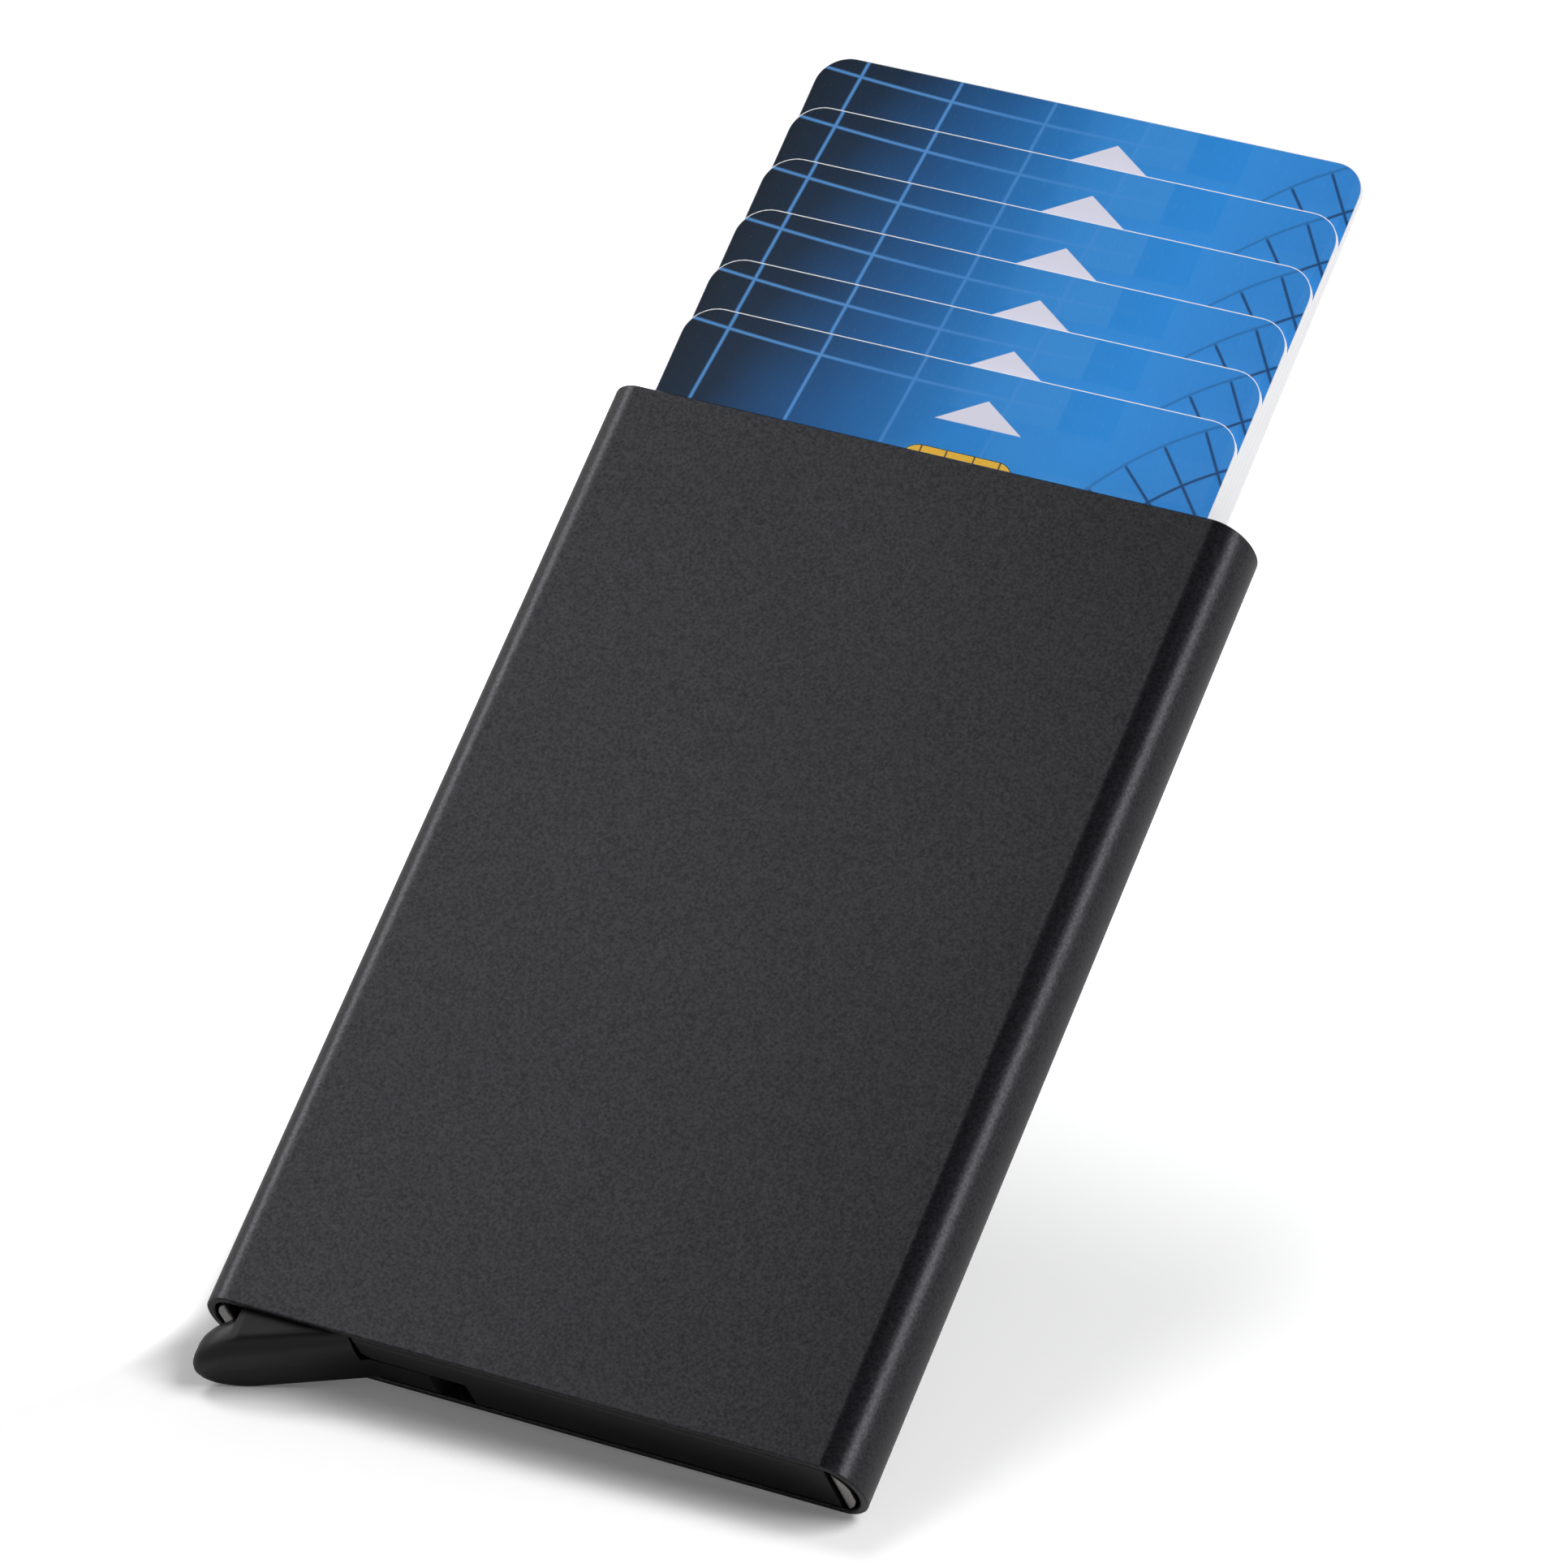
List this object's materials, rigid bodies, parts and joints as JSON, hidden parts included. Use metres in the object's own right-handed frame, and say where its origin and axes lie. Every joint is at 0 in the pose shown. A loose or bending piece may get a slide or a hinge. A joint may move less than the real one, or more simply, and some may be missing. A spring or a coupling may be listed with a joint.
{
  "type": "pop-up card holder",
  "caption": "Flat aluminium card case whose stepped thumb lever pushes a stack of cards out of the mouth as a fan.",
  "frame": {"origin": "centre of the case's flat back face, which is the face it lies on", "axes": "+X across the width to the right, +Y along the length towards the mouth and the cards, +Z out of the front face"},
  "size_m": [0.0624, 0.1394, 0.0096],
  "materials": {
    "anodised_case": "fine bead-blasted black anodising",
    "black_plastic": "smooth moulded black plastic",
    "steel": "bright spring steel",
    "printed_card": "satin laminated print, white core",
    "gold_contact": "gold-plated"
  },
  "bodies": {
    "case": {"case_shell": "anodised_case", "end_base": "black_plastic", "pivot_pin": "steel", "return_spring": "steel", "side_spring_left": "steel", "side_spring_right": "steel"},
    "lever": {"ejector_lever": "black_plastic"},
    "card_1_body": {"card_1": "printed_card", "chip_contact_1": "gold_contact"},
    "card_2_body": {"card_2": "printed_card", "chip_contact_2": "gold_contact"},
    "card_3_body": {"card_3": "printed_card", "chip_contact_3": "gold_contact"},
    "card_4_body": {"card_4": "printed_card", "chip_contact_4": "gold_contact"},
    "card_5_body": {"card_5": "printed_card", "chip_contact_5": "gold_contact"},
    "card_6_body": {"card_6": "printed_card", "chip_contact_6": "gold_contact"}
  },
  "joints": [
    {"name": "lever_pivot", "type": "hinge", "parent": "case", "child": "lever", "pos_m": [-0.014, -0.0437, 0.0048], "axis": [0, 0, 1], "range_deg": [0, 72], "stiffness_Nm_per_rad": 0.006, "springref_deg": -17.19},
    {"name": "card_1_slide", "type": "slide", "parent": "case", "child": "card_1_body", "axis": [0, 1, 0], "range_m": [-0.0114, 0.0753]},
    {"name": "card_2_slide", "type": "slide", "parent": "case", "child": "card_2_body", "axis": [0, 1, 0], "range_m": [-0.0172, 0.0695]},
    {"name": "card_3_slide", "type": "slide", "parent": "case", "child": "card_3_body", "axis": [0, 1, 0], "range_m": [-0.0232, 0.0635]},
    {"name": "card_4_slide", "type": "slide", "parent": "case", "child": "card_4_body", "axis": [0, 1, 0], "range_m": [-0.0293, 0.0574]},
    {"name": "card_5_slide", "type": "slide", "parent": "case", "child": "card_5_body", "axis": [0, 1, 0], "range_m": [-0.0355, 0.0512]},
    {"name": "card_6_slide", "type": "slide", "parent": "case", "child": "card_6_body", "axis": [0, 1, 0], "range_m": [-0.0415, 0.0452]}
  ]
}
